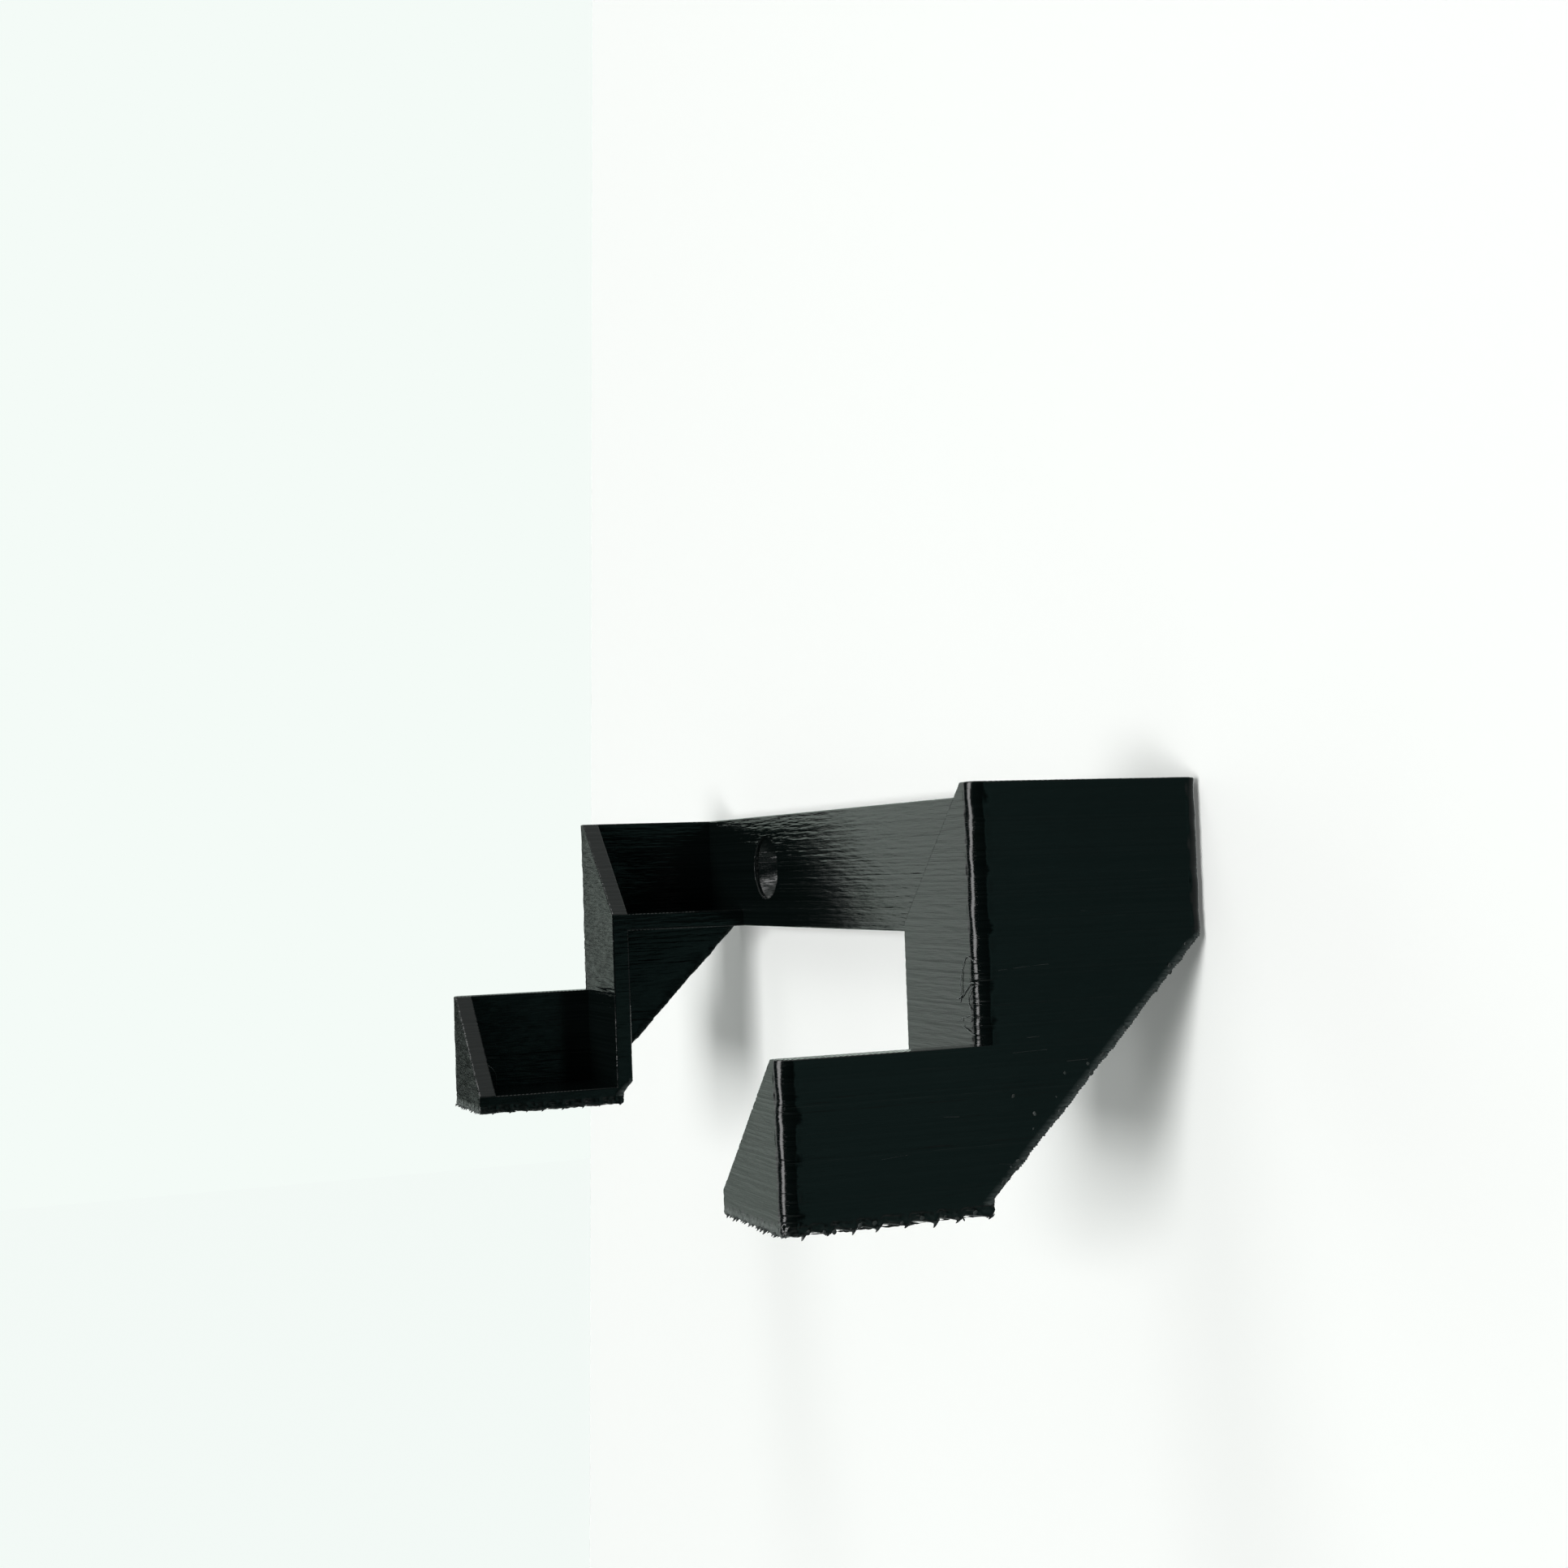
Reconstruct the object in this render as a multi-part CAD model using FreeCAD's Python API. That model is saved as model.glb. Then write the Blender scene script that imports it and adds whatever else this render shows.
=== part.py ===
"""Two-tier wall mount, printed in one piece.

Millimetres. +Z up, X along the wall, the wall at Y = 0 and the front towards -Y.
The origin is the centre of the flat rear face, midway between the two screws.
"""
import FreeCAD
import Part
import os

# What each tier holds, and the room around it
controller_width = 123.0
controller_thickness = 16.4
side_clearance = 1.9
pocket_slack = 0.8

# Walls
side_wall = 2.4
lip_wall = 2.4
divider_wall = 2.4
floor = 2.4
back_plate = 5.0

# Heights
cradle_height = 16.0
tier_rise = 25.0
rear_edge_height = 15.0
heel_height = 1.6

# Lengths along the wall and away from it; the heel is measured back from the front of the divider
cradle_reach = 16.0
heel_depth = 1.0
corner_radius = 1.5

# Countersunk screw holes through the back plate
screw_hole_diameter = 4.5
screw_head_diameter = 9.0
screw_spacing = 80.0
screw_head_recess = 0.6

# Planes worked out from the sizes above
half_width = controller_width / 2 + side_clearance + side_wall
half_inner = half_width - side_wall
half_window = half_width - cradle_reach
pocket_depth = controller_thickness + 2 * pocket_slack

top_z = rear_edge_height / 2
bottom_z = top_z - cradle_height - tier_rise
lower_floor_z = bottom_z + floor
lower_rim_z = bottom_z + cradle_height
upper_base_z = bottom_z + tier_rise
upper_floor_z = upper_base_z + floor

plate_y = -back_plate
upper_lip_back_y = plate_y - pocket_depth
upper_front_y = upper_lip_back_y - divider_wall
lower_lip_back_y = upper_front_y - pocket_depth
front_y = lower_lip_back_y - lip_wall
heel_y = upper_front_y + heel_depth

# How far each cut runs past the block
past = back_plate


def box(x0, x1, y0, y1, z0, z1):
    """A box between two corners."""
    return Part.makeBox(x1 - x0, y1 - y0, z1 - z0, FreeCAD.Vector(x0, y0, z0))


def prism(outline, direction):
    """A closed outline swept along a direction."""
    points = [FreeCAD.Vector(*p) for p in outline]
    wire = Part.makePolygon(points + [points[0]])
    return Part.Face(wire).extrude(FreeCAD.Vector(*direction))


def stepped_block():
    """The side view of the mount, two steps in front and a slanted underside, over the full width."""
    side_view = [
        (front_y, bottom_z),
        (front_y, lower_rim_z),
        (upper_front_y, lower_rim_z),
        (upper_front_y, top_z),
        (0.0, top_z),
        (0.0, top_z - rear_edge_height),
        (heel_y, bottom_z + heel_height),
        (heel_y, bottom_z),
    ]
    outline = [(-half_width, y, z) for y, z in side_view]
    block = prism(outline, (2 * half_width, 0, 0))
    rounded = [edge for edge in block.Edges if is_outer_corner(edge)]
    return block.makeFillet(corner_radius, rounded)


def is_outer_corner(edge):
    """True for the upright edges at both ends that the print rounds: two in front and one at the wall."""
    low, high = edge.Vertexes[0].Point, edge.Vertexes[-1].Point
    upright = abs(low.x - high.x) < 1e-6 and abs(low.y - high.y) < 1e-6
    at_end = abs(abs(low.x) - half_width) < 1e-6
    on_front_or_wall = any(abs(low.y - y) < 1e-6 for y in (front_y, upper_front_y, 0.0))
    return upright and at_end and on_front_or_wall


def pocket(front, back, floor_z):
    """The slot of one tier, open above."""
    return box(-half_inner, half_inner, front, back, floor_z, top_z + past)


def window():
    """The open middle: the end cradles stop here and only the back plate runs on."""
    in_front = box(-half_window, half_window, front_y - past, plate_y, bottom_z - past, top_z + past)
    below = box(-half_window, half_window, plate_y, past, bottom_z - past, upper_base_z)
    return in_front.fuse(below)


def hollow_under_upper_floor(side):
    """The space behind the divider and under the upper floor, open to the back and to the middle."""
    inner, outer = sorted((side * half_window, side * half_inner))
    return box(inner, outer, upper_lip_back_y, past, bottom_z - past, upper_base_z)


def lip_slope(side, front, back, floor_z, rim_z):
    """What is cut off a front lip: it falls from full height at the side wall to the floor's inner end."""
    outline = [
        (side * half_inner, front, rim_z),
        (side * half_window, front, floor_z),
        (side * half_window, front, rim_z + past),
        (side * half_inner, front, rim_z + past),
    ]
    return prism(outline, (0, back - front, 0))


def screw_hole(x):
    """A through hole with a cone for a countersunk head, sunk a little below the plate's front face."""
    toward_wall = FreeCAD.Vector(0, 1, 0)
    hole_radius = screw_hole_diameter / 2
    head_radius = screw_head_diameter / 2
    cone_depth = head_radius - hole_radius
    shank = Part.makeCylinder(hole_radius, back_plate + 2 * past, FreeCAD.Vector(x, plate_y - past, 0), toward_wall)
    counterbore = Part.makeCylinder(
        head_radius, past + screw_head_recess, FreeCAD.Vector(x, plate_y - past, 0), toward_wall
    )
    cone_start = FreeCAD.Vector(x, plate_y + screw_head_recess, 0)
    cone = Part.makeCone(head_radius, hole_radius, cone_depth, cone_start, toward_wall)
    return shank.fuse([counterbore, cone])


def wall_mount():
    """The whole printed piece."""
    cuts = [
        pocket(lower_lip_back_y, upper_front_y, lower_floor_z),
        pocket(upper_lip_back_y, plate_y, upper_floor_z),
        window(),
    ]
    for side in (-1, 1):
        cuts.append(hollow_under_upper_floor(side))
        cuts.append(lip_slope(side, front_y - past, lower_lip_back_y, lower_floor_z, lower_rim_z))
        cuts.append(lip_slope(side, upper_front_y, upper_lip_back_y, upper_floor_z, top_z))
        cuts.append(screw_hole(side * screw_spacing / 2))
    piece = stepped_block()
    for cut in cuts:
        piece = piece.cut(cut)
    return piece.removeSplitter()


def main():
    os.makedirs("parts", exist_ok=True)
    piece = wall_mount()
    solid = piece.Solids[0]
    assert len(piece.Solids) == 1 and solid.isValid()
    solid.exportStep("parts/wall_mount.step")
    size = solid.BoundBox
    print(f"size {size.XLength:.1f} x {size.YLength:.1f} x {size.ZLength:.1f} mm, volume {solid.Volume / 1000:.1f} cm3")


main()
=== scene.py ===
"""A two-tier wall mount, printed in one piece of black plastic, on a white wall."""
import math
import random

import bmesh
import bpy
from mathutils import Matrix, Vector, noise


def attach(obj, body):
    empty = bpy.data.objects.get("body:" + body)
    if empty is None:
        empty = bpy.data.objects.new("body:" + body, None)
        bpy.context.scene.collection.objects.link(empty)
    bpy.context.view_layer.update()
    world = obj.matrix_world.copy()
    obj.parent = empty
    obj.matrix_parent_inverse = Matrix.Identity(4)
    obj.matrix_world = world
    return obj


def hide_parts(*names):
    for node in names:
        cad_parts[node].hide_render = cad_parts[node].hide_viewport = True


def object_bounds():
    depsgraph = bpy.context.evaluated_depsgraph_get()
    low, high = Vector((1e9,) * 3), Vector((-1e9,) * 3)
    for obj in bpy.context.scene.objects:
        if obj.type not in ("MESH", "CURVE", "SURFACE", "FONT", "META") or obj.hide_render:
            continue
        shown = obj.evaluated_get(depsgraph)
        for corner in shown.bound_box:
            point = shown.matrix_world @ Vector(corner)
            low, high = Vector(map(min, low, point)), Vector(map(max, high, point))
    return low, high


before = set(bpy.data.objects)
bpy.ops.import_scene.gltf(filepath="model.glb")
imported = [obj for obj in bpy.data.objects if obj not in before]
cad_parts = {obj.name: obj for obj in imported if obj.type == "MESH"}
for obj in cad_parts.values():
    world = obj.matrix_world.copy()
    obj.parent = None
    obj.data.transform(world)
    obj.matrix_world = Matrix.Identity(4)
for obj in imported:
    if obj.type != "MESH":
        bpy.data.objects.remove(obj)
cad_low, cad_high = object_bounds()
MM = 0.001

# The camera
# It stands close to the right-hand end of the mount, level with the wall screws, and looks along
# the wall. Its place, turn and lens were fitted to the mount's corners in the photograph.

PHOTO_SIZE = 1932
FOCAL_PIXELS = 2563.2
CAMERA_PLACE = Vector((241.42, -115.25, -0.06)) * MM
CAMERA_AZIMUTH = math.radians(68.019)
CAMERA_ELEVATION = math.radians(-2.297)
CAMERA_ROLL = math.radians(-1.998)

camera_data = bpy.data.cameras.new("camera")
camera_data.sensor_width = 36.0
camera_data.lens = FOCAL_PIXELS / PHOTO_SIZE * camera_data.sensor_width
camera_data.clip_start = 0.005
camera_data.clip_end = 50.0
camera = bpy.data.objects.new("camera", camera_data)
bpy.context.scene.collection.objects.link(camera)
bpy.context.scene.camera = camera

ahead = Vector((
    -math.sin(CAMERA_AZIMUTH) * math.cos(CAMERA_ELEVATION),
    math.cos(CAMERA_AZIMUTH) * math.cos(CAMERA_ELEVATION),
    -math.sin(CAMERA_ELEVATION),
))
level_right = ahead.cross(Vector((0, 0, 1))).normalized()
level_up = level_right.cross(ahead)
roll_cos, roll_sin = math.cos(CAMERA_ROLL), math.sin(CAMERA_ROLL)
image_right = roll_cos * level_right + roll_sin * level_up
image_up = -roll_sin * level_right + roll_cos * level_up
turn = Matrix((image_right, image_up, -ahead)).transposed().to_4x4()
camera.matrix_world = Matrix.Translation(CAMERA_PLACE) @ turn

# The room
# A white wall that ends a little beyond the mount's far end, and a pale floor far below it.
# Daylight comes from windows in front and to the right, from above and from the far side of the room.

WALL_REACH = 9.0
WALL_END_TOP = -0.1274
WALL_END_LOW = -0.1618
WALL_END_SPAN = 0.3012
WALL_END_MIDDLE = 0.164
FLOOR_DROP = 1.3
WALL_GAP = 0.0003
WALL_WHITE, WALL_GLOW = (0.97, 0.985, 0.965), 0.12
FLOOR_WHITE, FLOOR_GLOW = (0.91, 0.965, 0.935), 0.97


def room_paint(name, colour, glow):
    """Matt paint, part of it evenly lit, that shows from its front only and is clear from behind."""
    paint = bpy.data.materials.new(name)
    paint.use_nodes = True
    nodes, links = paint.node_tree.nodes, paint.node_tree.links
    nodes.clear()
    surface = nodes.new("ShaderNodeBsdfDiffuse")
    surface.inputs["Color"].default_value = (*(c * (1 - glow) for c in colour), 1)
    shine = nodes.new("ShaderNodeEmission")
    shine.inputs["Color"].default_value = (*colour, 1)
    shine.inputs["Strength"].default_value = glow
    both = nodes.new("ShaderNodeAddShader")
    clear = nodes.new("ShaderNodeBsdfTransparent")
    side = nodes.new("ShaderNodeNewGeometry")
    choose = nodes.new("ShaderNodeMixShader")
    output = nodes.new("ShaderNodeOutputMaterial")
    links.new(surface.outputs["BSDF"], both.inputs[0])
    links.new(shine.outputs["Emission"], both.inputs[1])
    links.new(side.outputs["Backfacing"], choose.inputs["Fac"])
    links.new(both.outputs["Shader"], choose.inputs[1])
    links.new(clear.outputs["BSDF"], choose.inputs[2])
    links.new(choose.outputs["Shader"], output.inputs["Surface"])
    return paint


def room_plane(name, corners, paint):
    """One flat surface of the room, which shows and takes shadows but gives no light back."""
    mesh = bpy.data.meshes.new(name)
    mesh.from_pydata(corners, [], [tuple(range(len(corners)))])
    mesh.materials.append(paint)
    plane = bpy.data.objects.new(name, mesh)
    bpy.context.scene.collection.objects.link(plane)
    plane.visible_diffuse = False
    plane.visible_glossy = False
    plane.visible_transmission = False
    plane.visible_shadow = False
    return plane


lean = (WALL_END_TOP - WALL_END_LOW) / WALL_END_SPAN
room_plane("wall", [
    (WALL_END_TOP + lean * (-FLOOR_DROP - WALL_END_MIDDLE), WALL_GAP, -FLOOR_DROP),
    (WALL_REACH, WALL_GAP, -FLOOR_DROP),
    (WALL_REACH, WALL_GAP, FLOOR_DROP),
    (WALL_END_TOP + lean * (FLOOR_DROP - WALL_END_MIDDLE), WALL_GAP, FLOOR_DROP),
], room_paint("wall_paint", WALL_WHITE, WALL_GLOW))
room_plane("floor", [
    (-WALL_REACH, -WALL_REACH, -FLOOR_DROP),
    (WALL_REACH, -WALL_REACH, -FLOOR_DROP),
    (WALL_REACH, WALL_REACH, -FLOOR_DROP),
    (-WALL_REACH, WALL_REACH, -FLOOR_DROP),
], room_paint("floor_paint", FLOOR_WHITE, FLOOR_GLOW))


def area_lamp(name, place, target, width, height, watts):
    """A soft rectangular lamp turned to its target."""
    data = bpy.data.lights.new(name, "AREA")
    data.shape = "RECTANGLE"
    data.size, data.size_y = width, height
    data.energy = watts
    lamp = bpy.data.objects.new(name, data)
    bpy.context.scene.collection.objects.link(lamp)
    lamp.location = place
    lamp.rotation_mode = "QUATERNION"
    lamp.rotation_quaternion = (Vector(target) - Vector(place)).to_track_quat("-Z", "Y")
    return lamp


# The corners of the mount mirror the window, and the daylight shades the wall.
window = area_lamp("window", place=(-0.16, -4.0, 0.3), target=(0, 0, 0), width=1.5, height=4.4, watts=110)
window.visible_diffuse = False
middle = (0, 0, -0.02)
daylight = area_lamp(
    "daylight", place=(1.65, -3.65, -0.02), target=middle, width=1.4, height=2.0, watts=136
)
daylight.visible_glossy = False
area_lamp("skylight", place=(-0.7, -1.9, 3.5), target=middle, width=1.6, height=1.6, watts=30)

world = bpy.data.worlds.new("room_light")
world.use_nodes = True
bpy.context.scene.world = world
nodes, links = world.node_tree.nodes, world.node_tree.links
nodes.clear()
direction = nodes.new("ShaderNodeTexCoord")
split = nodes.new("ShaderNodeSeparateXYZ")
links.new(direction.outputs["Generated"], split.inputs[0])


def ramp(source, start, end, low, high):
    """A smooth change from low to high as the source goes from start to end."""
    node = nodes.new("ShaderNodeMapRange")
    node.interpolation_type = "SMOOTHSTEP"
    links.new(source, node.inputs["Value"])
    for key, value in (("From Min", start), ("From Max", end), ("To Min", low), ("To Max", high)):
        node.inputs[key].default_value = value
    return node.outputs["Result"]


def combine(operation, first, second):
    """A Math node on two sockets."""
    node = nodes.new("ShaderNodeMath")
    node.operation = operation
    links.new(first, node.inputs[0])
    if isinstance(second, (int, float)):
        node.inputs[1].default_value = second
    else:
        links.new(second, node.inputs[1])
    return node.outputs[0]


def blend_colour(factor, first, second):
    """A colour between two others."""
    node = nodes.new("ShaderNodeMix")
    node.data_type = "RGBA"
    node.clamp_factor = False
    links.new(factor, node.inputs["Factor"])
    for socket, value in ((node.inputs["A"], first), (node.inputs["B"], second)):
        if isinstance(value, tuple):
            socket.default_value = (*value, 1)
        else:
            links.new(value, socket)
    return node.outputs["Result"]


# What the plastic mirrors, by direction: the bright far side, a dim right-hand side that is black
# towards the front, the wall behind, and a light that is stronger above than below.
FAR_DIM, FAR_BRIGHT = (0.62, 0.725, 0.655), (0.95, 1.0, 0.97)
SIDE_TEAL = (0.108, 0.205, 0.193)
BEHIND_GREY = (0.23, 0.25, 0.245)
BELOW_GREY, ABOVE_GREY = (0.2, 0.225, 0.215), (0.5, 0.53, 0.515)
BLACK = (0, 0, 0)
BACKDROP = (0.905, 0.965, 0.93)

steepness = combine("ABSOLUTE", split.outputs["Z"], 0.0)
away_from_level = ramp(steepness, 0.38, 0.7, 0, 1)
far_side = combine(
    "MULTIPLY",
    ramp(split.outputs["X"], -0.66, -0.78, 0, 1),
    ramp(split.outputs["X"], -0.94, -0.966, 1, 0),
)
far_bright = ramp(split.outputs["X"], -0.92, -0.84, 0, 1)
far_lift = ramp(split.outputs["Z"], -0.35, 0.1, 0.62, 1.3)
far_colour = blend_colour(far_lift, BLACK, blend_colour(far_bright, FAR_DIM, FAR_BRIGHT))
beside_wall = ramp(split.outputs["Y"], 0.2, 0.35, 0, 1)
towards_back = ramp(split.outputs["Y"], 0.36, 0.58, 0, -0.35)
behind = ramp(split.outputs["Y"], 0.59, 0.85, 0, 1)
side_level = combine("ADD", beside_wall, towards_back)
dim_side = blend_colour(side_level, BLACK, SIDE_TEAL)
dim_side = blend_colour(behind, dim_side, BEHIND_GREY)
level_light = blend_colour(far_side, dim_side, far_colour)
above_and_below = blend_colour(ramp(split.outputs["Z"], -0.3, 0.3, 0, 1), BELOW_GREY, ABOVE_GREY)
dark_corner = combine(
    "MULTIPLY",
    ramp(split.outputs["X"], 0.45, 0.8, 0, 0.85),
    ramp(split.outputs["Y"], 0.65, 0.5, 0, 1),
)
above_and_below = blend_colour(dark_corner, above_and_below, BLACK)
room_light = nodes.new("ShaderNodeBackground")
links.new(blend_colour(away_from_level, level_light, above_and_below), room_light.inputs["Color"])
seen_light = nodes.new("ShaderNodeBackground")
seen_light.inputs["Color"].default_value = (*BACKDROP, 1)
path = nodes.new("ShaderNodeLightPath")
mix = nodes.new("ShaderNodeMixShader")
output = nodes.new("ShaderNodeOutputWorld")
links.new(path.outputs["Is Camera Ray"], mix.inputs["Fac"])
links.new(room_light.outputs["Background"], mix.inputs[1])
links.new(seen_light.outputs["Background"], mix.inputs[2])
links.new(mix.outputs["Shader"], output.inputs["Surface"])

bpy.context.scene.view_settings.view_transform = "Standard"

# The printed body
# One piece of glossy black plastic, laid down in strands 0.2 mm high, standing as it hangs. Every
# upright face shows the strands and the upright outer corners are round. The slanted edges and the
# torn bottom, which were laid over air and over supports, are rough.

STRAND = 0.2 * MM
HALF_STRAND = STRAND / 2
EDGE_ROUNDING = 0.18 * MM
WALL = 2.4 * MM
CORNER_RADIUS = 1.5 * MM
RIM = -17.5 * MM
STEP = -25.4 * MM
HALF_WIDTH, FRONT, BOTTOM, TOP = cad_high.x, cad_low.y, cad_low.z, cad_high.z
FLOOR_END = HALF_WIDTH - 16.0 * MM
HEEL = STEP + 1.0 * MM
UNDERSIDE_TOP = -7.5 * MM
UNDERSIDE_NORMAL = Vector((0, 1, -1)).normalized()
CURL_BAND = 0.45 * MM
SCAR_HEIGHT = 1.3 * MM
TEETH_Y = [-43.85, -41.29, -38.87, -36.43, -33.47, -30.64, -28.11, -24.87]
TEETH_X = [50.6, 52.9, 55.0, 57.15, 59.9, 62.3, 64.75]
COLUMN = 4.0 * MM
FINE_STEP = 0.24 * MM
SEAM_DEPTH = 0.012 * MM
STRAND_BULGE = 0.007 * MM
RAGGED_STRETCH = 9 * MM
KINK_HEIGHT = 1.45 * MM


def above_underside(point):
    """How far a point lies inside the slanted underside, square to it."""
    return (point.z - point.y - UNDERSIDE_TOP) / math.sqrt(2)


def slice_shell(shell, geometry, point, normal):
    """Cuts the given geometry along a plane, and returns it with the new edges."""
    found = bmesh.ops.bisect_plane(shell, geom=geometry, dist=1e-6, plane_co=point, plane_no=normal)
    return found["geom"]


def whole(shell):
    """All of the shell."""
    return shell.verts[:] + shell.edges[:] + shell.faces[:]


def around_faces(faces):
    """The faces with their edges and corners, each once."""
    edges = {edge for face in faces for edge in face.edges}
    verts = {vert for face in faces for vert in face.verts}
    return sorted(verts, key=lambda v: v.index) + sorted(edges, key=lambda e: e.index) + list(faces)


shell = bmesh.new()
shell.from_mesh(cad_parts["wall_mount"].data)
bmesh.ops.remove_doubles(shell, verts=shell.verts, dist=2e-6)
bmesh.ops.dissolve_limit(shell, angle_limit=math.radians(0.6), verts=shell.verts, edges=shell.edges)
outer_edges = [edge for edge in shell.edges if edge.calc_face_angle_signed() > math.radians(40)]
bmesh.ops.bevel(
    shell, geom=outer_edges, offset=EDGE_ROUNDING, offset_type="OFFSET",
    segments=2, profile=0.5, affect="EDGES", clamp_overlap=False,
)

row_count = round((TOP - BOTTOM) / HALF_STRAND)
for row in range(1, row_count):
    slice_shell(shell, whole(shell), (0, 0, BOTTOM + row * HALF_STRAND), (0, 0, 1))
for depth in (CURL_BAND, 2 * CURL_BAND):
    on_plane = Vector((0, 0, UNDERSIDE_TOP)) - depth * UNDERSIDE_NORMAL
    slice_shell(shell, whole(shell), on_plane, UNDERSIDE_NORMAL)

beside_corner = CORNER_RADIUS + 0.12 * MM
column_x = [COLUMN * k for k in range(-16, 17)]
column_x += [side * (FLOOR_END + 0.45 * MM) for side in (-1, 1)]
column_x += [side * (HALF_WIDTH - beside_corner) for side in (-1, 1)]
column_y = [FRONT + COLUMN * k for k in range(1, 12)]
column_y += [FRONT + beside_corner, STEP + beside_corner, -beside_corner]
column_y += [FRONT + beside_corner + 0.6 * MM, STEP + beside_corner + 0.6 * MM]
for x in column_x:
    slice_shell(shell, whole(shell), (x, 0, 0), (1, 0, 0))
for y in column_y:
    slice_shell(shell, whole(shell), (0, y, 0), (0, 1, 0))

shell.verts.index_update()
shell.edges.index_update()
low_faces = [face for face in shell.faces if max(vert.co.z for vert in face.verts) < BOTTOM + SCAR_HEIGHT]
low_part = around_faces(low_faces)
for k in range(1, round((HEEL - FRONT) / FINE_STEP)):
    low_part = slice_shell(shell, low_part, (0, FRONT + k * FINE_STEP, 0), (0, 1, 0))
for side in (-1, 1):
    for k in range(1, round((HALF_WIDTH - FLOOR_END) / FINE_STEP)):
        low_part = slice_shell(shell, low_part, (side * (FLOOR_END + k * FINE_STEP), 0, 0), (1, 0, 0))

rng = random.Random(11)
strand_count = row_count // 2 + 2
strand_shift = [rng.gauss(0, 0.007) * MM for k in range(strand_count)]
for k in range(strand_count):
    if rng.random() < 0.09:
        strand_shift[k] += rng.choice((-0.028, -0.02, 0.016)) * MM
corner_shift = [rng.gauss(0, 1.0) for k in range(strand_count)]


def in_round_corner(point):
    """True on the upright round corners: lower front, upper front and against the wall."""
    if abs(point.x) < HALF_WIDTH - CORNER_RADIUS - 0.01 * MM:
        return False
    if point.z < RIM:
        near = point.y < FRONT + CORNER_RADIUS
    else:
        near = point.y < STEP + CORNER_RADIUS
    return near or point.y > -CORNER_RADIUS


def corner_roughness(point):
    """How unevenly a corner is laid: smooth for most of the height, ragged just above the step."""
    if RIM < point.z < RIM + RAGGED_STRETCH and point.y < STEP + CORNER_RADIUS:
        return 0.02 * MM
    if abs(point.z - KINK_HEIGHT) < 0.12 * MM and point.y < STEP + CORNER_RADIUS:
        return 0.035 * MM
    if point.z < BOTTOM + 2 * MM:
        return 0.025 * MM
    return 0.003 * MM


def level_outward(place, normal):
    """The level way out of the body: along the normal on round corners, and else along the axes."""
    if in_round_corner(place):
        level = Vector((normal.x, normal.y, 0))
        return level.normalized() if level.length > 1e-9 else level
    x = math.copysign(1, normal.x) if abs(normal.x) > 0.25 else 0
    y = math.copysign(1, normal.y) if abs(normal.y) > 0.25 else 0
    return Vector((x, y, 0))


def scallop(along, teeth):
    """How high a torn edge lies: it rises steeply behind each tooth and sinks slowly to the next."""
    behind = [tooth for tooth in teeth if tooth <= along]
    before = [tooth for tooth in teeth if tooth > along]
    start = behind[-1] if behind else teeth[0] - 2.4
    end = before[0] if before else teeth[-1] + 2.4
    part = (along - start) / (end - start)
    return min(1.0, part / 0.16) * (1 - part) ** 0.7


def support_wave(point):
    """0 at the tip of a broken support and up to 1 behind it."""
    if point.y < FRONT + WALL:
        return scallop(abs(point.x) / MM, TEETH_X)
    return scallop(point.y / MM, TEETH_Y)


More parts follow.
